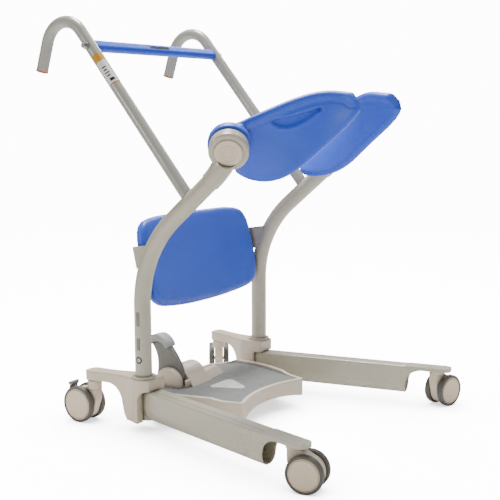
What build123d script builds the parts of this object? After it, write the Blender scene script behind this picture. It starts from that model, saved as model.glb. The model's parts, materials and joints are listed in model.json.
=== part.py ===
from build123d import *
import math
import os

# Sit to stand lift: a wheeled base with a footplate, two side tubes with handles,
# a knee pad, two swinging seat flaps and two hinged legs on castors.
# +X points to the open end where the person steps on, +Z is up, Y = 0 is the middle.
# The origin is on the floor under the middle of the bounding box.

os.makedirs("parts", exist_ok=True)

# ---- driving dimensions (mm) ----
base_x = -134.0            # the upright tubes stand here
base_y = -25.0             # the middle plane between them
tube_y = 272.0             # half distance between the side tubes
tube_r = 22.8
tube_wall = 2.5
tube_foot = 124.0          # bottom of the upright tube in its casting
bend_start = 345.0         # height where the upright starts to bend
bend_r = 310.0
bend_angle = 50.0          # from vertical
tube_end_x = 232.0         # measured from the upright

handle_r = 16.5
handle_wall = 2.0
handle_join = (165.0, 636.0)
handle_corner = (-284.5, 1172.0)
handle_end = (-351.0, 970.0)
handle_bend = 74.0
plug_length = 14.0

casting_bottom = 30.0
casting_top = 150.0
boss_top = 157.0
boss_r = 31.0
arm_bottom = 124.0

pivot_y = 256.0            # leg hinge, directly inboard of the tube
pin_r = 7.0
running_gap = 0.05
leg_width = 48.0
leg_top = 117.0
leg_bottom = 33.0
leg_wall = 3.5
leg_splay = 13.1           # degrees, open position
leg_reach = 564.0          # hinge to front castor axis
leg_overhang = 44.0        # end plate beyond that axis
castor_clear = 88.0        # free radius about a castor's swivel axis

front_wheel_r = 46.0
rear_wheel_r = 51.0
tyre_width = 17.0
tyre_depth = 7.0
fork_half = 13.5
wheel_inner = 15.0
front_trail = 33.0
rear_trail = 40.0
fork_top = 106.4
rear_fork_top = 121.0
kingpin_r = 6.0
axle_r = 5.0
rear_castor = (-168.0, 286.0)
arm_half = 24.0             # half width of the casting's arm at the castor

tray_top = 84.0
tray_skin = 4.0
pedal_axis = (-34.0, 96.0)

hub_axis = Vector(0.48, -0.77, -0.42).normalized()
hub_centre = Vector(289.0, -273.0, 764.0)
hub_r = 50.0
hub_half = 18.0
flap_thick = 24.0

shift = Vector(base_x, base_y, 0)
mid_plane = Plane((0, base_y, 0), z_dir=(0, 1, 0))


def at(x, y, z):
    """A point given from the foot of the uprights."""
    return Vector(x + base_x, y + base_y, z)


def save(piece, name):
    piece.part.label = name
    export_step(piece.part, f"parts/{name}.step")


def mirrored(piece):
    """The same piece on the other side of the middle plane."""
    with BuildPart() as other:
        mirror(piece.part, about=mid_plane)
    return other


def side_plane(y):
    """A plane across Y whose sketch X is the row's X and sketch Y is up."""
    return Plane(origin=at(0, y, 0), x_dir=(1, 0, 0), z_dir=(0, -1, 0))


def floor_plane(z):
    return Plane(origin=at(0, 0, z), x_dir=(1, 0, 0), z_dir=(0, 0, 1))


# ---- corner castings: tube socket, leg hinge and rear castor arm ----
with BuildPart() as casting_left:
    with BuildSketch(side_plane(-200)):
        with BuildLine():
            Polyline((34, casting_bottom), (-44, casting_bottom), (-55, 46), (-63, 80))
            ThreePointArc((-63, 80), (-76, 107), (-108, arm_bottom))
            Polyline((-108, arm_bottom), (-208, arm_bottom), (-208, 134))
            ThreePointArc((-208, 134), (-200, 144), (-182, casting_top))
            Polyline((-182, casting_top), (34, casting_top), (34, casting_bottom))
        make_face()
    extrude(amount=130)
    with BuildSketch(floor_plane(0)) as plan:
        with BuildLine():
            Polyline((34, -228), (34, -291))
            ThreePointArc((34, -291), (22, -300), (-6, -305))
            Spline((-6, -305), (-52, -293), (-110, -296), (rear_castor[0], -rear_castor[1] - arm_half))
            ThreePointArc(
                (rear_castor[0], -rear_castor[1] - arm_half),
                (rear_castor[0] - arm_half, -rear_castor[1]),
                (rear_castor[0], -rear_castor[1] + arm_half),
            )
            Spline((rear_castor[0], -rear_castor[1] + arm_half), (-100, -250), (-50, -232))
            Polyline((-50, -232), (-36, -228), (34, -228))
        make_face()
    extrude(amount=casting_top + 20, mode=Mode.INTERSECT)
    with BuildSketch(floor_plane(casting_top - 1)):
        with Locations((0, -tube_y)):
            Circle(boss_r)
    extrude(amount=boss_top - casting_top + 1)
    # room for the leg between the two decks
    with BuildSketch(floor_plane(casting_bottom - 1)):
        with Locations((0, -pivot_y)):
            Circle(leg_width / 2 + 0.8)
        with BuildLine():
            Polyline(
                (0, -pivot_y + 24.8), (40, -pivot_y + 34.8),
                (40, -292), (4, -292), (4, -pivot_y - 26.8), (-6, -pivot_y - 24.2),
                (0, -pivot_y + 24.8),
            )
        make_face()
    extrude(amount=leg_top + 1.5 - casting_bottom + 1, mode=Mode.SUBTRACT)
    with BuildSketch(side_plane(-340)):
        with Locations((54, leg_top + 1.5 - 45)):
            RectangleRounded(100, 90, 26)
        with Locations((54, casting_bottom + 20)):
            Rectangle(100, 60)
    extrude(amount=-50, mode=Mode.SUBTRACT)
    with BuildSketch(floor_plane(tube_foot)):
        with Locations((0, -tube_y)):
            Circle(tube_r)
    extrude(amount=60, mode=Mode.SUBTRACT)
    with BuildSketch(floor_plane(casting_bottom)):
        with Locations((0, -pivot_y)):
            Circle(pin_r)
    extrude(amount=92, mode=Mode.SUBTRACT)
    with BuildSketch(floor_plane(100)):
        with Locations((rear_castor[0], -rear_castor[1])):
            Circle(kingpin_r)
    extrude(amount=casting_top - 100 - 8, mode=Mode.SUBTRACT)
casting_right = mirrored(casting_left)
save(casting_left, "corner_casting_left")
save(casting_right, "corner_casting_right")

# ---- cross member between the castings ----
member_at = (7.0, 62.0)
member_size = (32.0, 32.0)
with BuildPart() as cross_member:
    with BuildSketch(side_plane(-228)):
        with Locations(member_at):
            RectangleRounded(*member_size, 5)
            RectangleRounded(member_size[0] - 6, member_size[1] - 6, 3, mode=Mode.SUBTRACT)
    extrude(amount=-456)
save(cross_member, "cross_member")

# ---- upright side tubes ----
bend = math.radians(bend_angle)
bend_end = (bend_r * (1 - math.cos(bend)), bend_start + bend_r * math.sin(bend))
tube_end = (tube_end_x, bend_end[1] + (tube_end_x - bend_end[0]) / math.tan(bend))
with BuildPart() as tube_left:
    with BuildLine(side_plane(-tube_y)) as tube_path:
        Line((0, tube_foot), (0, bend_start))
        ThreePointArc(
            (0, bend_start),
            (bend_r * (1 - math.cos(bend / 2)), bend_start + bend_r * math.sin(bend / 2)),
            bend_end,
        )
        Line(bend_end, tube_end)
    with BuildSketch(floor_plane(tube_foot)):
        with Locations((0, -tube_y)):
            Circle(tube_r)
            Circle(tube_r - tube_wall, mode=Mode.SUBTRACT)
    sweep(path=tube_path.wires()[0])
tube_right = mirrored(tube_left)
save(tube_left, "main_tube_left")
save(tube_right, "main_tube_right")

# ---- handle tubes: a straight tube with a hook, mitred onto the side tube ----
tube_dir = Vector(math.sin(bend), 0, math.cos(bend))
handle_plane = side_plane(-tube_y)
with BuildPart() as handle_left:
    with BuildLine(handle_plane) as handle_path:
        FilletPolyline(handle_join, handle_corner, handle_end, radius=handle_bend)
    with BuildSketch(Plane(handle_path.wires()[0] @ 0, z_dir=handle_path.wires()[0] % 0)):
        Circle(handle_r)
        Circle(handle_r - handle_wall, mode=Mode.SUBTRACT)
    sweep(path=handle_path.wires()[0])
    # the saddle where it is welded to the side tube
    with BuildSketch(Plane(at(bend_end[0], -tube_y, bend_end[1]), z_dir=tube_dir)):
        Circle(tube_r)
    extrude(amount=150, mode=Mode.SUBTRACT)
handle_right = mirrored(handle_left)
save(handle_left, "handle_tube_left")
save(handle_right, "handle_tube_right")

hook_tip = handle_path.wires()[0] @ 1
hook_dir = handle_path.wires()[0] % 1
with BuildPart() as plugs:
    with BuildSketch(Plane(hook_tip - hook_dir * plug_length, z_dir=hook_dir)):
        Circle(handle_r - handle_wall)
    extrude(amount=plug_length)
    with BuildSketch(Plane(hook_tip, z_dir=hook_dir)):
        Circle(handle_r + 0.6)
    extrude(amount=5)
    fillet(plugs.edges().filter_by(GeomType.CIRCLE).sort_by(SortBy.RADIUS)[-1], 2)
    mirror(about=mid_plane)
save(plugs, "handle_plugs")

# ---- crossbar between the handle tubes with a bolt at each end ----
crossbar_x = -165.0
handle_rise = Vector(
    handle_corner[0] - handle_join[0], 0, handle_corner[1] - handle_join[1]
).normalized()
crossbar_z = handle_join[1] + (crossbar_x - handle_join[0]) * handle_rise.Z / handle_rise.X
crossbar_mid = at(crossbar_x, 0, crossbar_z)
bolt_r = 5.0
with BuildPart() as crossbar:
    with BuildSketch(Plane(crossbar_mid, x_dir=handle_rise, z_dir=(0, -1, 0))):
        SlotOverall(34, 24)
    extrude(amount=tube_y, both=True)
    for side in (-1, 1):
        foot = crossbar_mid + Vector(0, side * tube_y, 0) - handle_rise * 90
        with BuildSketch(Plane(foot, z_dir=handle_rise)):
            Circle(handle_r)
        extrude(amount=180, mode=Mode.SUBTRACT)
save(crossbar, "crossbar")

with BuildPart() as crossbar_bolts:
    bolt_face = -tube_y - handle_r
    with BuildSketch(Plane(crossbar_mid + Vector(0, bolt_face + 1, 0), z_dir=(0, -1, 0))):
        Circle(10)
    extrude(amount=6)
    with BuildSketch(Plane(crossbar_mid + Vector(0, bolt_face - 5, 0), z_dir=(0, -1, 0))):
        RegularPolygon(8, 6)
    extrude(amount=8)
    chamfer(crossbar_bolts.faces().sort_by(Axis.Y)[0].edges(), 0.8)
    for side in (-1, 1):
        foot = crossbar_mid + Vector(0, side * tube_y, 0) - handle_rise * 30
        with BuildSketch(Plane(foot, z_dir=handle_rise)):
            Circle(handle_r)
        extrude(amount=60, mode=Mode.SUBTRACT)
    mirror(about=mid_plane)
save(crossbar_bolts, "crossbar_bolts")

# ---- knee pad: a curved, leaning cushion, hollow side towards the person ----
knee_r = 1500.0             # its front face bends about a line this far in front
knee_thick = 32.0
knee_lean = math.radians(13.0)
knee_mid = Vector(-19, 0, 452)
knee_front = Vector(math.cos(knee_lean), 0, math.sin(knee_lean))
knee_up = Vector(-math.sin(knee_lean), 0, math.cos(knee_lean))
knee_half = (
    (0, 126), (120, 125), (190, 120), (226, 106), (243, 73),
    (247, 20), (244, -70), (224, -109), (169, -126), (0, -135),
)


def knee_at(y, rise, radius):
    """A point at this radius of the pad's bend, `rise` up the leaning pad."""
    turn = math.asin(y / radius)
    reach = knee_front * (knee_r - radius * math.cos(turn)) + Vector(0, radius * math.sin(turn), 0)
    return knee_mid + shift + knee_up * rise + reach


def knee_level(rise):
    """A plane across the pad's bend."""
    return Plane(knee_at(0, rise, knee_r), x_dir=knee_front, z_dir=knee_up)


knee_back = knee_r + knee_thick
with BuildPart() as knee_pad:
    with BuildSketch(knee_level(-150)):
        with Locations((knee_r, 0)):
            Circle(knee_back)
            Circle(knee_r, mode=Mode.SUBTRACT)
        with Locations((0, 0)):
            Rectangle(200, 600, mode=Mode.INTERSECT)
    extrude(amount=300)
    with BuildSketch(Plane(knee_at(0, 0, knee_r), x_dir=(0, 1, 0), z_dir=knee_front)):
        with BuildLine():
            Spline(*knee_half, tangents=[(1, 0), (-1, 0)])
            Spline(*[(-y, rise) for y, rise in knee_half], tangents=[(-1, 0), (1, 0)])
        make_face()
    extrude(amount=120, both=True, mode=Mode.INTERSECT)
    fillet(knee_pad.faces().sort_by(SortBy.AREA)[-2:].edges(), 9)
save(knee_pad, "knee_pad")

# ---- knee pad brackets: a web on each tube and a plate behind the pad ----
bracket_thick = 6.0
bracket_low = -9.0
bracket_tall = 55.0
web_y = -250.0
with BuildPart() as tube_core:
    with BuildSketch(floor_plane(tube_foot)):
        with Locations((0, -tube_y)):
            Circle(tube_r)
    sweep(path=tube_path.wires()[0])

with BuildPart() as knee_brackets:
    with BuildSketch(knee_level(bracket_low)):
        with Locations((knee_r, 0)):
            Circle(knee_back + bracket_thick)
            Circle(knee_back, mode=Mode.SUBTRACT)
        with Locations((0, web_y + 34)):
            Rectangle(120, 80, mode=Mode.INTERSECT)
    extrude(amount=bracket_tall)
    with BuildSketch(side_plane(web_y)):
        with BuildLine():
            Polyline((-46, 498), (34, 511), (10, 440), (-33, 440), (-46, 498))
        make_face()
    extrude(amount=bracket_thick)
    add(tube_core.part, mode=Mode.SUBTRACT)
    mirror(about=mid_plane)
save(knee_brackets, "knee_brackets")

screw_y = -205.0
screw_rises = (4, 34)
with BuildPart() as knee_screws:
    plate_back = knee_back + bracket_thick
    for rise in screw_rises:
        seat = knee_at(screw_y, rise, plate_back)
        away = (seat - knee_at(screw_y, rise, plate_back - 10)).normalized()
        with BuildSketch(Plane(seat, z_dir=away)):
            Circle(7)
        extrude(amount=4)
        with BuildSketch(Plane(seat + away * 4, z_dir=away)):
            RegularPolygon(3.4, 6)
        extrude(amount=-2.5, mode=Mode.SUBTRACT)
    mirror(about=mid_plane)
    with BuildSketch(knee_level(-40)):
        with Locations((knee_r, 0)):
            Circle(plate_back)
    extrude(amount=110, mode=Mode.SUBTRACT)
save(knee_screws, "knee_pad_screws")

# ---- hub castings on the tube ends, with the seat pivot and a round cap ----
hub = hub_centre + shift
tube_tip = at(tube_end[0], -tube_y, tube_end[1])
cap_r = 35.0
seat_pin_r = 9.0
with BuildPart() as hub_left:
    with BuildSketch(Plane(hub - hub_axis * hub_half, z_dir=hub_axis)):
        Circle(hub_r)
    extrude(amount=2 * hub_half)
    fillet(hub_left.edges().filter_by(GeomType.CIRCLE), 7)
    with BuildSketch(Plane(tube_tip, z_dir=tube_dir)):
        Circle(tube_r + 2.6)
    with BuildSketch(Plane(tube_tip + tube_dir * 30 + Vector(4, 0, 8), z_dir=(0.6, 0, 0.8))):
        Circle(tube_r + 4)
    with BuildSketch(Plane(hub - Vector(4, 0, 14), z_dir=(0.45, 0, 0.9))):
        Ellipse(31, 20)
    loft()
    with BuildSketch(Plane(hub - hub_axis * (hub_half - 0.05), z_dir=hub_axis)):
        Circle(hub_r + 12)
    extrude(amount=-25, mode=Mode.SUBTRACT)
    with BuildSketch(Plane(tube_tip - tube_dir * 1, z_dir=tube_dir)):
        Circle(tube_r)
    extrude(amount=14, mode=Mode.SUBTRACT)
    with BuildSketch(Plane(hub + hub_axis * (hub_half - 3), z_dir=hub_axis)):
        Circle(cap_r + 0.4)
    extrude(amount=20, mode=Mode.SUBTRACT)
    with BuildSketch(Plane(hub - hub_axis * 40, z_dir=hub_axis)):
        Circle(seat_pin_r)
    extrude(amount=40 + 8, mode=Mode.SUBTRACT)
hub_right = mirrored(hub_left)
save(hub_left, "hub_casting_left")
save(hub_right, "hub_casting_right")

with BuildPart() as hub_caps:
    with BuildSketch(Plane(hub + hub_axis * (hub_half - 3), z_dir=hub_axis)):
        Circle(cap_r)
    extrude(amount=7)
    fillet(hub_caps.edges().group_by(Axis((0, 0, 0), hub_axis))[-1], 3)
    for ring in (12, 20):
        with BuildSketch(Plane(hub + hub_axis * (hub_half + 3.6), z_dir=hub_axis)):
            Circle(ring + 0.5)
            Circle(ring - 0.5, mode=Mode.SUBTRACT)
        extrude(amount=5, mode=Mode.SUBTRACT)
    mirror(about=mid_plane)
save(hub_caps, "hub_caps")

pin_reach = hub_half + 22
with BuildPart() as seat_pins:
    with BuildSketch(Plane(hub + hub_axis * 8, z_dir=-hub_axis)):
        Circle(seat_pin_r)
    extrude(amount=8 + pin_reach)
    mirror(about=mid_plane)
save(seat_pins, "seat_pivot_pins")

# ---- seat flaps: petal shells that rise to the rear, swinging about the hubs ----
# each pair is the upper and the lower edge of the petal at one station
flap_edges = (
    ((271, -250, 820), (238, -176, 704)),
    ((312, -222, 838), (260, -122, 680)),
    ((351, -190, 860), (326, -122, 682)),
    ((409, -147, 889), (406, -122, 720)),
    ((470, -112, 903), (488, -114, 786)),
    ((530, -97, 897), (560, -105, 862)),
)
with BuildPart() as flap_left:
    for upper, lower in flap_edges:
        top = at(*upper)
        low = at(*lower)
        middle = (top + low) / 2
        across = top - low
        along = Vector(1, 0.5, 0.25)
        normal = (along - across * (along.dot(across) / across.dot(across))).normalized()
        with BuildSketch(Plane(middle, x_dir=across, z_dir=normal)):
            SlotOverall(across.length, flap_thick)
    loft()
    with BuildSketch(Plane(hub - hub_axis * (hub_half + 0.4), z_dir=-hub_axis)):
        Circle(hub_r + 5)
    extrude(amount=25.6)
    with BuildSketch(Plane(hub + hub_axis * 60, z_dir=-hub_axis)):
        Circle(hub_r + 60)
    extrude(amount=60 + hub_half + 0.4, mode=Mode.SUBTRACT)
    with BuildSketch(Plane(hub, z_dir=-hub_axis)):
        Circle(seat_pin_r + running_gap)
    extrude(amount=pin_reach + 0.5, mode=Mode.SUBTRACT)
flap_right = mirrored(flap_left)
save(flap_left, "seat_flap_left")
save(flap_right, "seat_flap_right")

# ---- legs: hollow beams with a flat top and a round belly, hinged in the castings ----
splay = math.radians(leg_splay)
leg_dir = Vector(math.cos(splay), -math.sin(splay), 0)
leg_side = Vector(math.sin(splay), math.cos(splay), 0)
leg_pivot = at(0, -pivot_y, 0)
leg_castor = leg_pivot + leg_dir * leg_reach
up = Vector(0, 0, 1)


def on_leg(along, across, height):
    """A point counted from the left leg's hinge, along and across the leg."""
    return leg_pivot + leg_dir * along + leg_side * across + up * height


half = leg_width / 2


def leg_outline(inset):
    """The leg's section, or its hollow when inset by the wall."""
    side = half - inset
    low = leg_bottom + inset
    with BuildLine() as outline:
        Polyline((side, 72), (side, leg_top - inset), (-side, leg_top - inset), (-side, 72))
        Bezier((-side, 72), (-side, 48), (-16, low), (0, low))
        Bezier((0, low), (16, low), (side, 48), (side, 72))
    return outline.line


tongue_bottom = 106.8
arch_r = 45.0               # the arch over a front castor
arch_inner = castor_clear - arch_r
arch_foot = tongue_bottom - arch_r
leg_across = Plane(on_leg(0, 0, 0), x_dir=leg_side, z_dir=leg_dir)
leg_down = Plane(on_leg(0, 0, 0), x_dir=leg_dir, z_dir=up)
with BuildPart() as leg_left:
    with BuildSketch(leg_across) as leg_section:
        add(leg_outline(0))
        make_face()
        fillet(leg_section.vertices().group_by(Axis.Y)[-1], 5)
    extrude(amount=leg_reach - arch_inner)
    with BuildSketch(leg_across.offset(32)) as hollow_section:
        add(leg_outline(leg_wall))
        make_face()
        fillet(hollow_section.vertices().group_by(Axis.Y)[-1], 2)
    extrude(amount=leg_reach, mode=Mode.SUBTRACT)
    with BuildSketch(leg_down.offset(leg_bottom)):
        Circle(half)
    extrude(amount=leg_top - leg_bottom)
    with BuildSketch(leg_down):
        Circle(pin_r + running_gap)
    extrude(amount=leg_top + 20, mode=Mode.SUBTRACT)
    with BuildSketch(leg_down.offset(tongue_bottom)):
        with Locations((leg_reach, 0)):
            Circle(castor_clear)
    extrude(amount=30, mode=Mode.SUBTRACT)
    with BuildSketch(Plane(on_leg(leg_reach, 0, 0), x_dir=leg_dir, z_dir=-leg_side)):
        with BuildLine():
            arch_mid = arch_r * math.cos(math.radians(45))
            Polyline((0, 0), (castor_clear, 0), (castor_clear, arch_foot))
            ThreePointArc(
                (castor_clear, arch_foot),
                (arch_inner + arch_mid, arch_foot + arch_mid),
                (arch_inner, tongue_bottom),
            )
            Polyline((arch_inner, tongue_bottom), (0, tongue_bottom), (0, 0))
        make_face()
    revolve(axis=Axis(leg_castor, (0, 0, 1)), mode=Mode.SUBTRACT)
    with BuildSketch(leg_down.offset(leg_top - 1)):
        with Locations((leg_reach / 2 + 20, -9)):
            Rectangle(leg_reach - 40, 1.6)
    extrude(amount=5, mode=Mode.SUBTRACT)
leg_right = mirrored(leg_left)
save(leg_left, "leg_beam_left")
save(leg_right, "leg_beam_right")

tenon_width = leg_width - 2 * leg_wall - 3
with BuildPart() as end_left:
    with BuildSketch(leg_down.offset(tongue_bottom)):
        with Locations((leg_reach - castor_clear / 2, 0)):
            Rectangle(castor_clear, leg_width)
        with Locations((leg_reach + leg_overhang / 2 - 20, 0)):
            RectangleRounded(leg_overhang + 40, leg_width, 20)
    extrude(amount=leg_top - tongue_bottom)
    with BuildSketch(leg_down):
        with Locations((leg_reach, 0)):
            Circle(castor_clear + 30)
            Circle(castor_clear, mode=Mode.SUBTRACT)
    extrude(amount=leg_top + 20, mode=Mode.SUBTRACT)
    with BuildSketch(leg_down.offset(tongue_bottom)):
        with Locations((leg_reach - castor_clear - 12, 0)):
            Rectangle(56, tenon_width)
    extrude(amount=leg_top - leg_wall - tongue_bottom - 0.2)
    with BuildSketch(leg_down):
        with Locations((leg_reach, 0)):
            Circle(kingpin_r)
    extrude(amount=leg_top - 3, mode=Mode.SUBTRACT)
end_right = mirrored(end_left)
save(end_left, "leg_end_plate_left")
save(end_right, "leg_end_plate_right")

with BuildPart() as leg_pins:
    with BuildSketch(floor_plane(casting_bottom)):
        with Locations((0, -pivot_y)):
            Circle(pin_r)
    extrude(amount=92)
    with BuildSketch(floor_plane(casting_bottom)):
        with Locations((0, -pivot_y)):
            Circle(pin_r + 5)
    extrude(amount=2.5)
    mirror(about=mid_plane)
save(leg_pins, "leg_pivot_pins")

# ---- pedal housing: a round hump with a slot for the pedal and a low apron in front ----
pedal_x, pedal_z = pedal_axis
hump_r = 44.0
hump_near = -134.0
hump_far = -10.0
hump_end_r = 7.0
slot_near = -118.0
slot_far = -98.0
drum_r = 28.0
slot_r = 31.0
pedal_pin_r = 6.0
apron_reach = 30.0
with BuildPart() as pedal_slot:
    with BuildSketch(side_plane(slot_near)):
        with Locations(pedal_axis):
            Circle(slot_r)
        with Locations((pedal_x - 25, pedal_z + 52)):
            Rectangle(150, 120)
    extrude(amount=slot_near - slot_far)

with BuildPart() as housing:
    with BuildSketch(side_plane(hump_near)) as hump_side:
        with Locations(pedal_axis):
            Circle(hump_r)
        with Locations((pedal_x, pedal_z - 22)):
            Rectangle(2 * hump_r, 44)
    extrude(amount=hump_near - hump_far)
    fillet(housing.faces().filter_by(Axis.Y).edges().filter_by(GeomType.CIRCLE), hump_end_r)
    with BuildSketch(side_plane(slot_far)):
        with BuildLine():
            Polyline((-6, 129), (apron_reach, 87), (apron_reach, 80), (-34, 80), (-34, 125), (-6, 129))
        make_face()
    extrude(amount=slot_far - hump_far + 4)
    with BuildSketch(side_plane(slot_near)):
        with BuildLine():
            Polyline((0, 124), (20, 104), (20, 80), (-34, 80), (-34, 120), (0, 124))
        make_face()
    extrude(amount=slot_near - slot_far - 2)
    with BuildSketch(floor_plane(tray_top)) as apron_plan:
        with BuildLine():
            Polyline((-60, -100), (apron_reach, -72), (10, 78), (-40, 100), (-60, -100))
        make_face()
        fillet(apron_plan.vertices(), 14)
    extrude(amount=24, taper=42)
    with BuildSketch(side_plane(-228)):
        with Locations(member_at):
            RectangleRounded(*member_size, 5)
    extrude(amount=-456, mode=Mode.SUBTRACT)
    add(pedal_slot.part, mode=Mode.SUBTRACT)
    with BuildSketch(side_plane(hump_near + 8)):
        with Locations(pedal_axis):
            Circle(pedal_pin_r)
    extrude(amount=-70, mode=Mode.SUBTRACT)
save(housing, "pedal_housing")

with BuildPart() as pedal_axle:
    with BuildSketch(side_plane(hump_near + 8)):
        with Locations(pedal_axis):
            Circle(pedal_pin_r)
    extrude(amount=-70)
save(pedal_axle, "pedal_axle")

# ---- pedal: a curved fin with a foot pad across its top ----
fin_gap = 1.5
with BuildPart() as pedal_arm:
    with BuildSketch(side_plane(slot_near + fin_gap)):
        with Locations(pedal_axis):
            Circle(drum_r)
        with BuildLine():
            Line((-86, 92), (-87, 115))
            Spline((-87, 115), (-84, 150), (-91, 178), (-112, 204))
            Line((-112, 204), (-52, 212))
            Spline((-52, 212), (-22, 176), (-2, 143), (5, 110))
            Line((5, 110), (-86, 92))
        make_face()
    extrude(amount=slot_near - slot_far + 2 * fin_gap)
    with BuildSketch(side_plane(slot_near - 20)):
        with Locations(pedal_axis):
            Circle(pedal_pin_r + running_gap)
    extrude(amount=-60, mode=Mode.SUBTRACT)
    fin_rim = pedal_arm.edges().filter_by(GeomType.BSPLINE)
    fillet(fin_rim, 2.5)
save(pedal_arm, "pedal_arm")

with BuildPart() as pedal_pad:
    with BuildSketch(side_plane(-127)) as pad_side:
        with BuildLine():
            Polyline((-116, 199), (-118, 213))
            Spline((-118, 213), (-98, 226), (-76, 230), (-54, 221), (-38, 198))
            Line((-38, 198), (-48, 193))
            Spline((-48, 193), (-66, 208), (-88, 208), (-108, 196))
            Line((-108, 196), (-116, 199))
        make_face()
    extrude(amount=-38)
    fillet(pedal_pad.edges().filter_by(GeomType.BSPLINE), 2.5)
    add(pedal_arm.part, mode=Mode.SUBTRACT)
save(pedal_pad, "pedal_pad")

# ---- footplate: a shallow moulded tray with kerbs, skirt, mat and heel patch ----
rim = 12.0
kerb_top = 94.0


def tray_outline():
    """The tray's plan, narrower and hollowed at the front."""
    with BuildLine() as outline:
        Polyline((244, 150), (90, 198), (36, 208), (-38, 203), (-88, 122), (-88, -122))
        Polyline((-88, -122), (-38, -203), (36, -208), (90, -198), (244, -150))
        ThreePointArc((244, -150), (208, 0), (244, 150))
    return outline.line


with BuildPart() as tray:
    with BuildSketch(floor_plane(40)) as tray_plan:
        add(tray_outline())
        make_face()
        fillet(tray_plan.vertices(), 10)
    extrude(amount=kerb_top - 40)
    with BuildSketch(side_plane(-230)):
        with BuildLine():
            Polyline((-100, 30), (-100, tray_top + 4), (-50, tray_top + 4), (-36, kerb_top), (50, kerb_top))
            Spline((50, kerb_top), (120, 101), (190, tray_top + 4), tangents=[(1, 0), (1, 0)])
            Line((190, tray_top + 4), (260, tray_top + 4))
            Line((260, tray_top + 4), (260, 30))
            ThreePointArc((260, 30), (200, 52), (120, 57))
            Polyline((120, 57), (60, 40), (60, 30), (-100, 30))
        make_face()
    extrude(amount=-460, mode=Mode.INTERSECT)
    with BuildSketch(floor_plane(tray_top)) as tray_floor:
        add(tray_outline())
        make_face()
        fillet(tray_floor.vertices(), 10)
        offset(amount=-rim, mode=Mode.REPLACE)
    extrude(amount=60, mode=Mode.SUBTRACT)
    with BuildSketch(floor_plane(20)) as tray_hollow:
        add(tray_outline())
        make_face()
        fillet(tray_hollow.vertices(), 10)
        offset(amount=-tray_skin, mode=Mode.REPLACE)
    extrude(amount=tray_top - tray_skin - 20, mode=Mode.SUBTRACT)
    with BuildSketch(side_plane(-228)):
        with Locations(member_at):
            RectangleRounded(*member_size, 5)
    extrude(amount=-456, mode=Mode.SUBTRACT)
    add(housing.part, mode=Mode.SUBTRACT)
    add(pedal_slot.part, mode=Mode.SUBTRACT)
save(tray, "footplate_tray")

mat_thick = 2.6
with BuildPart() as mat:
    with BuildSketch(floor_plane(tray_top)) as mat_plan:
        add(tray_outline())
        make_face()
        fillet(mat_plan.vertices(), 10)
        offset(amount=-rim - 1.5, mode=Mode.REPLACE)
    extrude(amount=mat_thick)
    add(housing.part, mode=Mode.SUBTRACT)
    add(pedal_slot.part, mode=Mode.SUBTRACT)
    with BuildSketch(floor_plane(tray_top + mat_thick - 0.8)) as patch:
        with BuildLine():
            Polyline((62, -78), (168, -22), (62, 34), (62, -78))
        make_face()
        fillet(patch.vertices(), 14)
    extrude(amount=5, mode=Mode.SUBTRACT)
save(mat, "footplate_mat")

with BuildPart() as heel_patch:
    with BuildSketch(floor_plane(tray_top + mat_thick - 0.8)) as patch:
        with BuildLine():
            Polyline((62, -78), (168, -22), (62, 34), (62, -78))
        make_face()
        fillet(patch.vertices(), 14)
    extrude(amount=1.4)
save(heel_patch, "heel_patch")

# ---- kingpins: two in the rear arms, one in each leg ----
kingpin_foot = 74.0
with BuildPart() as rear_kingpins:
    with BuildSketch(floor_plane(kingpin_foot)):
        with Locations((rear_castor[0], -rear_castor[1])):
            Circle(kingpin_r)
    extrude(amount=casting_top - 8 - kingpin_foot)
    mirror(about=mid_plane)
save(rear_kingpins, "rear_kingpins")

with BuildPart() as front_pin_left:
    with BuildSketch(leg_down.offset(kingpin_foot)):
        with Locations((leg_reach, 0)):
            Circle(kingpin_r)
    extrude(amount=leg_top - 3 - kingpin_foot)
front_pin_right = mirrored(front_pin_left)
save(front_pin_left, "front_kingpin_left")
save(front_pin_right, "front_kingpin_right")


# ---- castors: twin wheels on a swivelling housing ----
brake_half = 5.0
brake_wide = 13.0


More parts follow.
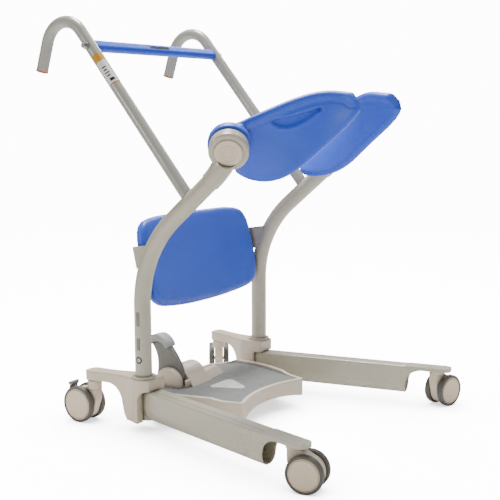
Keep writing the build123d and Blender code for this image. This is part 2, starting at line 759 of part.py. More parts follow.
def castor(name, centre, heading, wheel_r, trail, top, braked):
    """One castor whose wheels trail from its swivel axis in the heading's direction."""
    spot = Plane(centre, x_dir=(math.cos(heading), math.sin(heading), 0), z_dir=up)
    lateral = spot.y_dir
    face = Plane(centre, x_dir=spot.x_dir, z_dir=-lateral)
    brake_pin = (trail + 20, wheel_r + 20)
    brake_knee = (trail + 36, wheel_r + 44)

    with BuildPart() as fork:
        with BuildSketch(face.offset(-fork_half)):
            with Locations((trail, wheel_r)):
                Circle(wheel_r - 6)
            with Locations((0, 84)):
                Rectangle(2 * fork_half, 36)
            make_hull()
        extrude(amount=2 * fork_half)
        fillet(fork.edges().filter_by(lambda e: not e.geom_type == GeomType.LINE), 3)
        with BuildSketch(spot.offset(98)):
            Circle(19.5)
        extrude(amount=top - 98)
        with BuildSketch(spot.offset(kingpin_foot - 1)):
            Circle(kingpin_r + running_gap)
        extrude(amount=60, mode=Mode.SUBTRACT)
        with BuildSketch(face.offset(-fork_half)):
            with Locations((trail, wheel_r)):
                Circle(axle_r)
        extrude(amount=2 * fork_half, mode=Mode.SUBTRACT)
        if braked:
            with BuildSketch(face.offset(-brake_half - 0.4)):
                with Locations(brake_pin, (trail + 46, wheel_r + 54)):
                    Circle(8.5)
                make_hull()
            extrude(amount=2 * brake_half + 0.8, mode=Mode.SUBTRACT)
            with BuildSketch(face.offset(-12)):
                with Locations(brake_pin):
                    Circle(3 + running_gap)
            extrude(amount=24, mode=Mode.SUBTRACT)
    save(fork, f"castor_fork_{name}")

    if braked:
        with BuildPart() as brake:
            with BuildSketch(face.offset(-brake_half)):
                with Locations(brake_pin, brake_knee):
                    Circle(5.5)
                make_hull()
            extrude(amount=2 * brake_half)
            with BuildSketch(face.offset(-brake_wide)):
                with Locations((trail + 34, wheel_r + 54), (trail + 43, wheel_r + 51)):
                    Circle(4)
                with Locations((trail + 37, wheel_r + 47)):
                    Circle(3)
                make_hull()
            extrude(amount=2 * brake_wide)
            with BuildSketch(face.offset(-brake_wide)):
                with Locations((trail + 40, wheel_r + 45), (trail + 45, wheel_r + 27)):
                    Circle(2)
                make_hull()
            extrude(amount=2 * brake_wide)
            with BuildSketch(face.offset(-12)):
                with Locations(brake_pin):
                    Circle(3)
            extrude(amount=24)
        save(brake, f"brake_tab_{name}")

    with BuildPart() as axle:
        with BuildSketch(face.offset(-wheel_inner - 11)):
            with Locations((trail, wheel_r)):
                Circle(axle_r)
        extrude(amount=2 * wheel_inner + 22)
    save(axle, f"castor_axle_{name}")

    for side, word in ((1, "outer"), (-1, "inner")):
        inside = Plane(centre + lateral * (-side * wheel_inner), x_dir=spot.x_dir, z_dir=-lateral * side)
        with BuildPart() as tyre:
            with BuildSketch(inside):
                with Locations((trail, side * wheel_r)):
                    Circle(wheel_r)
                    Circle(wheel_r - tyre_depth, mode=Mode.SUBTRACT)
            extrude(amount=tyre_width)
            fillet(tyre.edges().filter_by(GeomType.CIRCLE).group_by(SortBy.RADIUS)[-1], 4)
        save(tyre, f"tyre_{name}_{word}")
        with BuildPart() as wheel:
            with BuildSketch(inside):
                with Locations((trail, side * wheel_r)):
                    Circle(wheel_r - tyre_depth)
            extrude(amount=tyre_width - 1.5)
            with BuildSketch(inside.offset(tyre_width - 1.5)):
                with Locations((trail, side * wheel_r)):
                    Circle(wheel_r - tyre_depth - 3)
            extrude(amount=2, taper=35)
            with BuildSketch(inside.offset(-1)):
                with Locations((trail, side * wheel_r)):
                    Circle(axle_r + running_gap)
            extrude(amount=12.4, mode=Mode.SUBTRACT)
        save(wheel, f"wheel_{name}_{word}")


def on_floor(x, y):
    return at(x, y, 0)


front_left = on_leg(leg_reach, 0, 0)
front_right = Vector(front_left.X, 2 * base_y - front_left.Y, 0)
rear_left = on_floor(rear_castor[0], -rear_castor[1])
rear_right = on_floor(rear_castor[0], rear_castor[1])
castor("front_left", front_left, math.radians(13), front_wheel_r, front_trail, fork_top, False)
castor("front_right", front_right, math.radians(75), front_wheel_r, front_trail, fork_top, False)
castor("rear_left", rear_left, math.radians(183), rear_wheel_r, rear_trail, rear_fork_top, True)
castor("rear_right", rear_right, math.radians(127), rear_wheel_r, rear_trail, rear_fork_top, True)
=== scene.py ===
import bpy
import bmesh
import json
import math
import numpy as np
from mathutils import Vector, Matrix
from mathutils.kdtree import KDTree


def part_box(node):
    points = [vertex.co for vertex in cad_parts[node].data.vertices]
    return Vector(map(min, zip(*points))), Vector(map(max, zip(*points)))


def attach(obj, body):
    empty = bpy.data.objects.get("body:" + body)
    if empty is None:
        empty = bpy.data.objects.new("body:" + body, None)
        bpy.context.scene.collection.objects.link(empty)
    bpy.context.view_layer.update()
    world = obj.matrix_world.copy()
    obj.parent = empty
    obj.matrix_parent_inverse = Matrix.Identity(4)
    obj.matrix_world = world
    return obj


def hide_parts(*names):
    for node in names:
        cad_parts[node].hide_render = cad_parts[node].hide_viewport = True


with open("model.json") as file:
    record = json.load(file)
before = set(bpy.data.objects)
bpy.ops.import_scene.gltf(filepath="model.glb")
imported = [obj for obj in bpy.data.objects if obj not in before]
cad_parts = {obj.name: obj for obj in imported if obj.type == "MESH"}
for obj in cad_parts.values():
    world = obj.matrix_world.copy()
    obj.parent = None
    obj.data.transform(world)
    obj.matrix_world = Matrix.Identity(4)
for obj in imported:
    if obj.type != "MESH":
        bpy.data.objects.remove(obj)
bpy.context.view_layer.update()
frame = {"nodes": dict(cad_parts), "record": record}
scene = bpy.context.scene

# ---- where things are: places are in mm, counted from the feet of the two uprights ----
TUBE_R = 0.0228                            # an upright's radius, in metres
tube_low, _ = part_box("main_tube_left")
_, far_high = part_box("main_tube_right")
BASE_X = tube_low.x + TUBE_R
BASE_Y = (tube_low.y + far_high.y) / 2     # the middle plane between the uprights


def at(x, y, z):
    """A point in metres from millimetres counted from the uprights' feet."""
    return Vector((BASE_X + x / 1000, BASE_Y + y / 1000, z / 1000))


# ---- camera at the photograph's angle ----
CAMERA_PLACE = (1693, -2181, 856)
CAMERA_YAW, CAMERA_PITCH, CAMERA_ROLL = 35.13, 8.12, 0.22     # degrees
FOCAL_PX, FRAME_PX, SENSOR_MM = 972.6, 500, 36.0
CLIP_START, CLIP_END = 0.05, 60


def make_camera():
    yaw, pitch, roll = (math.radians(a) for a in (CAMERA_YAW, CAMERA_PITCH, CAMERA_ROLL))
    data = bpy.data.cameras.new("camera")
    data.sensor_width = SENSOR_MM
    data.lens = FOCAL_PX / FRAME_PX * SENSOR_MM
    data.clip_start = CLIP_START
    data.clip_end = CLIP_END
    camera = bpy.data.objects.new("camera", data)
    scene.collection.objects.link(camera)
    camera.location = at(*CAMERA_PLACE)
    forward = Vector((
        -math.sin(yaw) * math.cos(pitch), math.cos(yaw) * math.cos(pitch), -math.sin(pitch)
    ))
    turn = forward.to_track_quat("-Z", "Y")
    camera.rotation_mode = "QUATERNION"
    camera.rotation_quaternion = turn @ Matrix.Rotation(-roll, 4, "Z").to_quaternion()
    scene.camera = camera


# ---- materials ----
class Paint:
    """A Principled material whose colour, roughness and bump are built from noise."""

    def __init__(self, name):
        self.material = bpy.data.materials.new(name)
        self.material.use_nodes = True
        self.nodes = self.material.node_tree.nodes
        self.links = self.material.node_tree.links
        self.shader = self.nodes["Principled BSDF"]
        self.place = self.nodes.new("ShaderNodeTexCoord").outputs["Object"]
        self.normal = None

    def set(self, socket, value):
        self.shader.inputs[socket].default_value = value

    def noise(self, scale, detail=3.0, rough=0.5, stretch=None):
        node = self.nodes.new("ShaderNodeTexNoise")
        node.inputs["Scale"].default_value = scale
        node.inputs["Detail"].default_value = detail
        node.inputs["Roughness"].default_value = rough
        source = self.place
        if stretch:
            mapping = self.nodes.new("ShaderNodeMapping")
            mapping.inputs["Scale"].default_value = stretch
            self.links.new(self.place, mapping.inputs["Vector"])
            source = mapping.outputs["Vector"]
        self.links.new(source, node.inputs["Vector"])
        return node.outputs["Fac"]

    def cells(self, scale):
        node = self.nodes.new("ShaderNodeTexVoronoi")
        node.inputs["Scale"].default_value = scale
        self.links.new(self.place, node.inputs["Vector"])
        return node.outputs["Distance"]

    def ramp(self, value, low, high, bottom=0.0, top=1.0):
        """Maps low to bottom and high to top, and holds still beyond them."""
        node = self.nodes.new("ShaderNodeMapRange")
        node.inputs["From Min"].default_value = low
        node.inputs["From Max"].default_value = high
        node.inputs["To Min"].default_value = bottom
        node.inputs["To Max"].default_value = top
        self.links.new(value, node.inputs["Value"])
        return node.outputs["Result"]

    def times(self, first, second):
        """The product of a socket and a second socket or a number."""
        node = self.nodes.new("ShaderNodeMath")
        node.operation = "MULTIPLY"
        self.links.new(first, node.inputs[0])
        if isinstance(second, float):
            node.inputs[1].default_value = second
        else:
            self.links.new(second, node.inputs[1])
        return node.outputs["Value"]

    def mix(self, factor, first, second):
        """first where the factor is 0, second where it is 1: sockets or colours."""
        node = self.nodes.new("ShaderNodeMix")
        node.data_type = "RGBA"
        for key, value in (("Factor", factor), ("A", first), ("B", second)):
            if isinstance(value, tuple):
                node.inputs[key].default_value = (*value, 1)
            else:
                self.links.new(value, node.inputs[key])
        return node.outputs["Result"]

    def rounded(self, radius, samples):
        """Normals that run round an edge within the radius."""
        bevel = self.nodes.new("ShaderNodeBevel")
        bevel.samples = samples
        bevel.inputs["Radius"].default_value = radius
        return bevel.outputs["Normal"]

    def soften(self, radius):
        """Rounds hard edges in the shading, as paint and moulds do."""
        self.normal = self.rounded(radius, 8)

    def bump(self, height, strength, distance):
        node = self.nodes.new("ShaderNodeBump")
        node.inputs["Strength"].default_value = strength
        node.inputs["Distance"].default_value = distance
        self.links.new(height, node.inputs["Height"])
        if self.normal is not None:
            self.links.new(self.normal, node.inputs["Normal"])
        self.normal = node.outputs["Normal"]

    def worn(self, base, colour, radius, noise, amount):
        """Lightens the edges where a noise says that they are rubbed."""
        dot = self.nodes.new("ShaderNodeVectorMath")
        dot.operation = "DOT_PRODUCT"
        self.links.new(self.rounded(radius, 6), dot.inputs[0])
        self.links.new(self.nodes.new("ShaderNodeNewGeometry").outputs["Normal"], dot.inputs[1])
        edge = self.ramp(dot.outputs["Value"], 0.995, 0.9)
        scale, low, high = noise
        rubbed = self.ramp(self.noise(scale, 5), low, high, 0.0, amount)
        return self.mix(self.times(edge, rubbed), base, colour)

    def paint_crevice_shade(self, base, colour):
        """Painted shade: darkens seams and inside corners, where shadow gathers."""
        hidden = self.nodes.new("ShaderNodeAmbientOcclusion")
        hidden.samples = 8
        hidden.inputs["Distance"].default_value = 0.016
        open_air = self.ramp(hidden.outputs["AO"], 0.30, 0.92)
        return self.mix(open_air, tinted(colour, 0.42), base)

    def finish(self, colour, roughness):
        self.links.new(colour, self.shader.inputs["Base Color"])
        self.links.new(roughness, self.shader.inputs["Roughness"])
        if self.normal is not None:
            self.links.new(self.normal, self.shader.inputs["Normal"])
        return self.material


def tinted(colour, factor):
    return tuple(min(1.0, c * factor) for c in colour)


def coated(name, colour, rough, coat, peel=0.04, soft=0.0015):
    """Powder coat: orange peel, soft clouding, a few specks and worn edges."""
    paint = Paint(name)
    paint.soften(soft)
    clouds = paint.ramp(paint.noise(7, 4), 0.35, 0.65)
    base = paint.mix(clouds, tinted(colour, 0.93), colour)
    dust = paint.ramp(paint.noise(420, 2), 0.68, 0.76, 0.0, 0.35)
    base = paint.mix(dust, base, tinted(colour, 0.82))
    base = paint.worn(base, tinted(colour, 1.22), 0.0018, (60, 0.45, 0.7), 0.25)
    # painted shade in seams and inside corners, from ambient occlusion
    base = paint.paint_crevice_shade(base, colour)
    smears = paint.ramp(paint.noise(14, 5, 0.6), 0.3, 0.75, rough - 0.06, rough + 0.10)
    paint.bump(paint.noise(330, 2), peel, 0.0012)
    paint.bump(paint.noise(1500, 2), peel * 0.6, 0.0004)
    paint.set("Coat Weight", coat)
    paint.set("Coat Roughness", 0.13)
    return paint.finish(base, smears)


def moulded(name, colour, rough=0.5, grain=0.12, scale=1300, sheen=0.0,
            wear=0.15, dark=0.92, soft=0.0015):
    """Moulded plastic or skinned foam: fine leathery grain, clouding and scuffs."""
    paint = Paint(name)
    if soft:
        paint.soften(soft)
    clouds = paint.ramp(paint.noise(9, 5), 0.32, 0.68)
    base = paint.mix(clouds, tinted(colour, dark), colour)
    scuffs = paint.ramp(paint.noise(26, 8, 0.7, (1, 1, 4)), 0.60, 0.72, 0.0, 0.22)
    base = paint.mix(scuffs, base, tinted(colour, 1.25))
    base = paint.worn(base, tinted(colour, 1.3), 0.0016, (90, 0.4, 0.7), wear)
    # painted shade in seams and inside corners, from ambient occlusion
    base = paint.paint_crevice_shade(base, colour)
    gloss = paint.ramp(paint.noise(18, 6, 0.65), 0.3, 0.7, rough - 0.08, rough + 0.09)
    paint.bump(paint.cells(scale), grain, 0.0005)
    paint.bump(paint.noise(110, 3), grain * 0.3, 0.0008)
    paint.set("Sheen Weight", sheen)
    return paint.finish(base, gloss)


def rubber(name, colour, rough=0.72, grain=0.25, scale=900):
    """Rubber: matt, mottled, a little dusty."""
    paint = Paint(name)
    mottled = paint.ramp(paint.noise(45, 6, 0.65), 0.3, 0.7)
    base = paint.mix(mottled, tinted(colour, 0.86), tinted(colour, 1.10))
    dust = paint.ramp(paint.noise(12, 5), 0.50, 0.80, 0.0, 0.2)
    base = paint.mix(dust, base, tinted(colour, 1.35))
    matt = paint.ramp(paint.noise(30, 4), 0.3, 0.7, rough - 0.1, rough + 0.1)
    paint.bump(paint.noise(scale, 3), grain, 0.0006)
    return paint.finish(base, matt)


def steel(name, colour):
    """Zinc-plated steel with fine drawn lines and dull spots."""
    paint = Paint(name)
    paint.set("Metallic", 1.0)
    lines = paint.noise(160, 4, 0.6, (1, 1, 22))
    base = paint.mix(paint.ramp(lines, 0.35, 0.65), tinted(colour, 0.78), colour)
    spots = paint.ramp(paint.noise(70, 6), 0.4, 0.7, 0.24, 0.46)
    paint.bump(lines, 0.12, 0.0003)
    return paint.finish(base, spots)


def sticker(name, colour, rough=0.45):
    """A printed film: the moulded look with hardly any grain or clouding."""
    return moulded(name, colour, rough, 0.04, 2200, wear=0.05, dark=0.96)


BLUE = (0.028, 0.105, 0.72)
FOAM = {"rough": 0.42, "grain": 0.14, "scale": 1500, "sheen": 0.15}
# for each material slot: the kind of look, its colour and what differs from the kind's own values
FINISHES = {
    "frame_paint": (coated, (0.53, 0.49, 0.375), {"rough": 0.30, "coat": 0.6}),
    "handle_paint": (coated, (0.39, 0.38, 0.325), {"rough": 0.32, "coat": 0.5}),
    "grip_end": (moulded, (0.90, 0.13, 0.0), {"rough": 0.45}),
    "blue_pad": (moulded, BLUE, FOAM),
    "blue_bar": (moulded, BLUE, {"rough": 0.4, "grain": 0.08, "scale": 1500}),
    "mat": (rubber, (0.195, 0.205, 0.196), {"rough": 0.8, "grain": 0.6, "scale": 520}),
    "heel_patch": (rubber, (0.62, 0.62, 0.58), {"rough": 0.7, "grain": 0.2, "scale": 700}),
    "tray_plastic": (moulded, (0.76, 0.66, 0.53),
                     {"rough": 0.42, "grain": 0.14, "scale": 1100, "soft": 0.004}),
    "cap_plastic": (moulded, (0.80, 0.66, 0.50), {"rough": 0.4, "grain": 0.08, "scale": 1200}),
    "pedal_plastic": (moulded, (0.22, 0.22, 0.205), {}),
    "pedal_rubber": (rubber, (0.42, 0.42, 0.40), {}),
    "brake_plastic": (moulded, (0.25, 0.24, 0.22), {}),
    "tyre": (rubber, (0.115, 0.105, 0.092), {"rough": 0.6, "grain": 0.2, "scale": 700}),
    "wheel_plastic": (moulded, (0.82, 0.67, 0.48), {"rough": 0.45, "grain": 0.1, "scale": 1200}),
    "fork_plastic": (moulded, (0.76, 0.64, 0.49), {"rough": 0.45, "grain": 0.1, "scale": 1200}),
    "steel": (steel, (0.62, 0.61, 0.59), {}),
}
# looks for the nodes whose names start so, instead of their slot's
SPECIAL = {
    "corner_casting": ("casting_look", coated, (0.72, 0.61, 0.47),
                       {"rough": 0.36, "peel": 0.06, "coat": 0.5, "soft": 0.007}),
    "seat_flap": ("foam_look", moulded, BLUE, {**FOAM, "soft": 0}),
}


def dress_cad_nodes():
    """Every CAD node gets its slot's full finish in place of the plain one."""
    looks = {slot: kind(slot + "_look", colour, **values)
             for slot, (kind, colour, values) in FINISHES.items()}
    for start, (name, kind, colour, values) in SPECIAL.items():
        looks[start] = kind(name, colour, **values)
    slots = {part["node"]: part["material_slot"] for part in frame["record"]["subparts"]}
    for node, piece in frame["nodes"].items():
        special = [start for start in SPECIAL if node.startswith(start)]
        for place in piece.material_slots:
            place.material = looks[special[0] if special else slots[node]]
    return looks


# ---- floor, world and soft lights ----
FLOOR_HALF = 14                            # metres
FLOOR_GLOW = 13.0                          # for the camera only: plain white paper
SHADE_REACH = 0.22                         # how near a part has to stand to shade the paper
SKY = (0.97, 0.98, 1.0, 1)
SKY_STRENGTH = 0.27
WHITE = (1.0, 1.0, 1.0)
LIGHTS = (                                 # place, aim, size in metres, watts, colour
    ("key", (-0.8, 0.5, 3.6), (0, 0, 0.5), 1.2, 225, (1.0, 0.985, 0.96)),
    ("side", (-1.6, -3.2, 1.6), (0, 0, 0.6), 1.0, 34, (1.0, 0.98, 0.95)),
    ("front", (3.0, -1.6, 2.2), (0, 0, 0.5), 2.2, 22, (0.96, 0.98, 1.0)),
    ("back", (-1.0, 3.0, 2.6), (0, 0, 0.5), 1.6, 60, WHITE),
)


def make_world():
    """A dim sky lights the object; the camera sees white paper instead of it."""
    world = bpy.data.worlds.new("studio")
    scene.world = world
    world.use_nodes = True
    nodes, links = world.node_tree.nodes, world.node_tree.links
    sky = nodes["Background"]
    sky.inputs["Color"].default_value = SKY
    sky.inputs["Strength"].default_value = SKY_STRENGTH
    paper = nodes.new("ShaderNodeBackground")
    paper.inputs["Color"].default_value = (*WHITE, 1)
    paper.inputs["Strength"].default_value = FLOOR_GLOW + 0.5
    choose = nodes.new("ShaderNodeMixShader")
    links.new(nodes.new("ShaderNodeLightPath").outputs["Is Camera Ray"], choose.inputs[0])
    links.new(sky.outputs[0], choose.inputs[1])
    links.new(paper.outputs[0], choose.inputs[2])
    links.new(choose.outputs[0], nodes["World Output"].inputs["Surface"])


def make_floor():
    """Glowing paper with soft shade where the wheels and legs stand close over it."""
    mesh = bpy.data.meshes.new("floor")
    shape = bmesh.new()
    bmesh.ops.create_grid(shape, x_segments=1, y_segments=1, size=FLOOR_HALF)
    shape.to_mesh(mesh)
    shape.free()
    floor = bpy.data.objects.new("floor", mesh)
    scene.collection.objects.link(floor)
    paint = Paint("floor_paper")
    paint.set("Base Color", (0.95, 0.95, 0.95, 1))
    paint.set("Roughness", 0.85)
    paint.set("Emission Color", (*WHITE, 1))
    seen = paint.nodes.new("ShaderNodeLightPath").outputs["Is Camera Ray"]
    near = paint.nodes.new("ShaderNodeAmbientOcclusion")
    near.samples = 16
    near.inputs["Distance"].default_value = SHADE_REACH
    fade = paint.ramp(near.outputs["AO"], 0.25, 0.98, 0.10)
    glow = paint.times(paint.times(seen, FLOOR_GLOW), fade)
    paint.links.new(glow, paint.shader.inputs["Emission Strength"])
    mesh.materials.append(paint.material)


def make_lights():
    for name, place, aim, size, power, colour in LIGHTS:
        data = bpy.data.lights.new(name, "AREA")
        data.shape = "DISK"
        data.size = size
        data.energy = power
        data.color = colour
        lamp = bpy.data.objects.new(name, data)
        scene.collection.objects.link(lamp)
        lamp.location = place
        lamp.rotation_mode = "QUATERNION"
        lamp.rotation_quaternion = (Vector(aim) - Vector(place)).to_track_quat("-Z", "Y")


# ---- mesh helpers ----
def grid_mesh(name, rows):
    """A mesh from rows of points, every row as long as the first."""
    count = len(rows[0])
    points = [tuple(p) for row in rows for p in row]
    faces = []
    for i in range(len(rows) - 1):
        for j in range(count - 1):
            first = i * count + j
            faces.append((first, first + 1, first + count + 1, first + count))
    mesh = bpy.data.meshes.new(name)
    mesh.from_pydata(points, [], faces)
    mesh.update()
    return mesh


def add_piece(name, mesh, material, body):
    mesh.materials.clear()
    mesh.materials.append(material)
    mesh.shade_smooth()
    piece = bpy.data.objects.new(name, mesh)
    scene.collection.objects.link(piece)
    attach(piece, body)
    return piece


def remeshed(node, voxel):
    """The CAD node's shape as an even quad mesh."""
    copy = bpy.data.objects.new("rough", frame["nodes"][node].data.copy())
    scene.collection.objects.link(copy)
    change = copy.modifiers.new("even", "REMESH")
    change.mode = "VOXEL"
    change.voxel_size = voxel
    bpy.context.view_layer.update()
    evened = copy.evaluated_get(bpy.context.evaluated_depsgraph_get())
    mesh = bpy.data.meshes.new_from_object(evened)
    bpy.data.objects.remove(copy)
    mesh.name = node + "_moulded"
    return mesh


def read_vectors(mesh, kind):
    """The vertices' places ("co") or normals ("normal") as rows of three."""
    flat = np.empty(len(mesh.vertices) * 3, dtype=np.float64)
    mesh.vertices.foreach_get(kind, flat)
    return flat.reshape(-1, 3)


def write_points(mesh, points):
    mesh.vertices.foreach_set("co", points.ravel())
    mesh.update()


def pushed(mesh, points, normals, push):
    """Moves every point out along its normal, by millimetres."""
    write_points(mesh, points + normals * (push / 1000)[:, None])


def relax(mesh, rounds, amount=0.5):
    """Evens the surface and rounds the corners over."""
    points = read_vectors(mesh, "co")
    ends = np.empty(len(mesh.edges) * 2, dtype=np.int64)
    mesh.edges.foreach_get("vertices", ends)
    first, second = ends.reshape(-1, 2).T
    count = np.bincount(np.concatenate((first, second)), minlength=len(points))[:, None]
    for _ in range(rounds):
        total = np.zeros_like(points)
        for axis in range(3):
            total[:, axis] = np.bincount(first, points[second, axis], len(points))
            total[:, axis] += np.bincount(second, points[first, axis], len(points))
        points += amount * (total / np.maximum(count, 1) - points)
    write_points(mesh, points)


def smoothstep(value, low, high):
    step = np.clip((value - low) / (high - low), 0, 1)
    return step * step * (3 - 2 * step)


def outline_distance(points, outline):
    """Signed distance in a plane: negative inside the closed outline."""
    outline = np.asarray(outline, dtype=float)
    best = np.full(len(points), 1e9)
    inside = np.zeros(len(points), dtype=bool)
    for start, end in zip(outline, np.roll(outline, -1, axis=0)):
        along = end - start
        share = np.clip(((points - start) @ along) / (along @ along), 0, 1)
        gap = points - start - share[:, None] * along
        best = np.minimum(best, np.linalg.norm(gap, axis=1))
        crosses = (start[1] > points[:, 1]) != (end[1] > points[:, 1])
        run = (end[0] - start[0]) * (points[:, 1] - start[1]) / (end[1] - start[1] + 1e-12)
        inside ^= crosses & (points[:, 0] < run + start[0])
    return np.where(inside, -best, best)


# ---- soft pads that stand for the plain CAD ones ----
FLAP_VOXEL, PAD_VOXEL = 0.0024, 0.004
FLAP_REACH = (285, 545)                    # X in mm over which a flap has a rolled upper edge
CREST_COUNT = 60
LIP, LIP_EDGE = 3.2, (12, 24)              # how far the rolled edge stands out, and its width, mm
SEAM, SEAM_PLACE, SEAM_WIDTH = 1.5, 27, 3.2
# the hand grip's leaf shape on the outer face: X from the upright's foot and Z from the floor, mm
GRIP_LEAF = (
    (352, 833), (356, 822), (367, 814), (386, 813), (408, 820), (430, 831), (450, 846),
    (466, 860), (464, 866), (450, 864), (430, 858), (408, 850), (386, 844), (365, 839),
)
GRIP_DEPTH, GRIP_WALL = 8.5, (-8, -1)
RIM, RIM_PLACE, RIM_WIDTH = 1.2, 2.0, 2.4
GRIP_HOLE, HOLE_DEPTH, HOLE_HALF = (459.0, 860.0), 6, (6, 4)
PAD_CROWN = 4.5                            # mm that the knee pad's faces bulge in the middle
WELT, WELT_WIDTH = 0.8, 0.28


def make_flap(side, sign, material):
    node = "seat_flap_" + side
    mesh = remeshed(node, FLAP_VOXEL)
    relax(mesh, 10)
    points = read_vectors(mesh, "co")
    normals = read_vectors(mesh, "normal")
    flat = np.column_stack(((points[:, 0] - BASE_X) * 1000, points[:, 2] * 1000))
    outer = normals[:, 1] * sign > 0.25
    # the upper edge as a row of highest points, for the rolled lip and the seam along it
    crest = KDTree(CREST_COUNT)
    for i, x in enumerate(np.linspace(*FLAP_REACH, CREST_COUNT)):
        near = np.abs(flat[:, 0] - x) < 4
        crest.insert(points[near][np.argmax(points[near, 2])], i)
    crest.balance()
    away = np.array([crest.find(p)[2] for p in points]) * 1000
    roll = 1 - smoothstep(away, *LIP_EDGE)
    seam = np.exp(-((away - SEAM_PLACE) / SEAM_WIDTH) ** 2)
    fade = smoothstep(flat[:, 0], FLAP_REACH[0], FLAP_REACH[0] + 45)
    push = (LIP * roll - SEAM * seam) * fade
    leaf = outline_distance(flat, GRIP_LEAF)
    dish = (1 - smoothstep(leaf, *GRIP_WALL)) * GRIP_DEPTH
    rim = np.exp(-((leaf - RIM_PLACE) / RIM_WIDTH) ** 2) * RIM
    off_hole = (((flat - GRIP_HOLE) / HOLE_HALF) ** 2).sum(axis=1)
    push += np.where(outer, rim - dish - np.exp(-off_hole) * HOLE_DEPTH, 0)
    pushed(mesh, points, normals, push)
    relax(mesh, 2, 0.4)
    piece = add_piece("flap_shell_" + side, mesh, material, "flap_" + side)
    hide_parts(node)


def make_knee_pad(material):
    mesh = remeshed("knee_pad", PAD_VOXEL)
    relax(mesh, 14)
    points = read_vectors(mesh, "co")
    normals = read_vectors(mesh, "normal")
    low, high = points.min(axis=0), points.max(axis=0)
    across = np.abs(points[:, 1] - BASE_Y) / (high[1] - BASE_Y)
    upward = np.abs(points[:, 2] - (low[2] + high[2]) / 2) / ((high[2] - low[2]) / 2)
    crown = (1 - across ** 4) * (1 - upward ** 4)
    push = np.where(np.abs(normals[:, 0]) > 0.5, PAD_CROWN * crown, 0)
    # the welt where the front and back skins meet
    push += WELT * np.exp(-((np.abs(normals[:, 0]) / WELT_WIDTH) ** 2))
    pushed(mesh, points, normals, push)
    relax(mesh, 3, 0.4)
    piece = add_piece("knee_cushion", mesh, material, "chassis")
    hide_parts("knee_pad")


# ---- stickers with no writing, and a blank plate ----
TUBE_Y = -272.0                            # the left upright and the left handle tube
UPRIGHT_FOOT, UPRIGHT_TOP = 150, 340
HANDLE_R = 0.0165
HANDLE_FOOT = (165.0, 636.0)               # X and Z of the handle tube's two ends, mm
HANDLE_CORNER = (-284.5, 1172.0)
LABEL_FACING = Vector((0.50, -0.77, 0.42))
BACK_LIFT, FACE_LIFT, PRINT_LIFT = 0.00025, 0.00045, 0.00065      # off the tube, in layers
LINE_START, LINE_STEP, LINE_WIDTH = 0.402, 0.009, 0.003
LINE_ANGLES = ((-30, 6), (-34, 14), (-28, 2), (-30, 10))
MARK_REACHES = ((0.144, 0.182), (0.079, 0.112))
MARK_ANGLES = (-4, 5, 14)                  # where each bar of a mark begins; it is 4 degrees wide
RING_HEIGHT, RING_TURN, RING_RADII = 202, 0.13, (0.0062, 0.0092)
PLATE_X = -165.0                           # the crossbar's place along the handle tubes
PLATE_LIFT, PLATE_HALF_TALL, PLATE_HALF_WIDE = 0.01215, 0.0048, 0.042


def tube_patch(name, reach, tube, facing, angles, material, lift=BACK_LIFT, count=14):
    """A thin film on a round tube between two places along its axis, in metres."""
    foot, top, radius = tube
    axis = (top - foot).normalized()
    first = facing - axis * facing.dot(axis)
    first.normalize()
    second = axis.cross(first)
    rows = []
    for place in np.linspace(*reach, 3):
        row = []
        for angle in np.linspace(math.radians(angles[0]), math.radians(angles[1]), count):
            out = first * math.cos(angle) + second * math.sin(angle)
            row.append(foot + axis * place + out * (radius + lift))
        rows.append(row)
    add_piece(name, grid_mesh(name, rows), material, "chassis")


def make_handle_label(foot, corner, ink):
    """A service label: an amber back, a white face, four bars and a block."""
    amber = sticker("label_amber", (0.58, 0.27, 0.0))
    white = sticker("label_white", (0.80, 0.80, 0.77))
    tube = (foot, corner, HANDLE_R)
    tube_patch("label_back", (0.377, 0.477), tube, LABEL_FACING, (-66, 66), amber)
    tube_patch("label_face", (0.380, 0.452), tube, LABEL_FACING, (-58, 46), white, FACE_LIFT)
    for i, angles in enumerate(LINE_ANGLES):
        place = LINE_START + i * LINE_STEP
        reach = (place, place + LINE_WIDTH)
        tube_patch(f"label_line_{i}", reach, tube, LABEL_FACING, angles, ink, PRINT_LIFT)
    tube_patch("label_block", (0.386, 0.394), tube, LABEL_FACING, (-22, 24), ink, PRINT_LIFT)


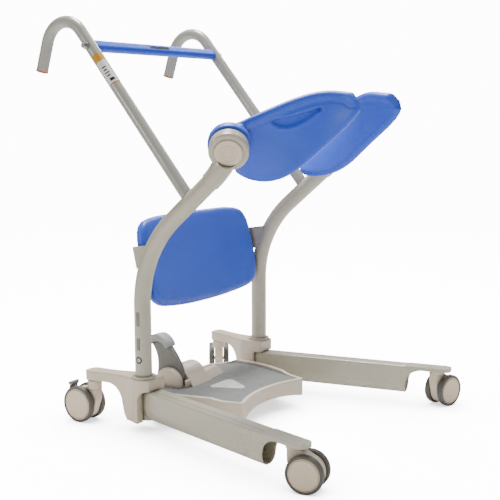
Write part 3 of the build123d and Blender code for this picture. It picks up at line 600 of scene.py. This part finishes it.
def make_upright_marks(ink):
    """Two groups of three bars and a ring on the outer side of the left upright."""
    tube = (at(0, TUBE_Y, UPRIGHT_FOOT), at(0, TUBE_Y, UPRIGHT_TOP), TUBE_R)
    outward = Vector((0, -1, 0))
    for i, reach in enumerate(MARK_REACHES):
        for j, angle in enumerate(MARK_ANGLES):
            tube_patch(f"mark_{i}_{j}", reach, tube, outward, (angle, angle + 4), ink, count=4)
    rows = []
    for radius in RING_RADII:
        row = []
        for a in np.linspace(0, 2 * math.pi, 40):
            turn = math.cos(a) * radius / TUBE_R + RING_TURN
            out = Vector((math.sin(turn), -math.cos(turn), 0)) * (TUBE_R + 0.0003)
            row.append(at(0, TUBE_Y, RING_HEIGHT) + out + Vector((0, 0, math.sin(a) * radius)))
        rows.append(row)
    add_piece("mark_ring", grid_mesh("mark_ring", rows), ink, "chassis")


def make_crossbar_plate(foot, corner, ink):
    """A blank dark plate on the front of the crossbar."""
    rise = (corner - foot).normalized()
    normal = Vector((rise.z, 0, -rise.x))
    bar = foot + rise * ((HANDLE_FOOT[0] - PLATE_X) / 1000 / -rise.x)
    bar.y = BASE_Y
    rows = []
    for up in (-PLATE_HALF_TALL, PLATE_HALF_TALL):
        edge = bar + normal * PLATE_LIFT + rise * up
        rows.append([edge + Vector((0, y, 0))
                     for y in np.linspace(-PLATE_HALF_WIDE, PLATE_HALF_WIDE, 8)])
    add_piece("crossbar_plate", grid_mesh("crossbar_plate", rows), ink, "chassis")


def make_labels():
    ink = sticker("label_ink", (0.008, 0.008, 0.009), 0.8)
    foot = at(HANDLE_FOOT[0], TUBE_Y, HANDLE_FOOT[1])
    corner = at(HANDLE_CORNER[0], TUBE_Y, HANDLE_CORNER[1])
    make_handle_label(foot, corner, ink)
    make_upright_marks(ink)
    make_crossbar_plate(foot, corner, ink)


make_camera()
make_world()
make_floor()
make_lights()
looks = dress_cad_nodes()
for side, sign in (("left", -1), ("right", 1)):
    make_flap(side, sign, looks["seat_flap"])
make_knee_pad(looks["seat_flap"])
make_labels()
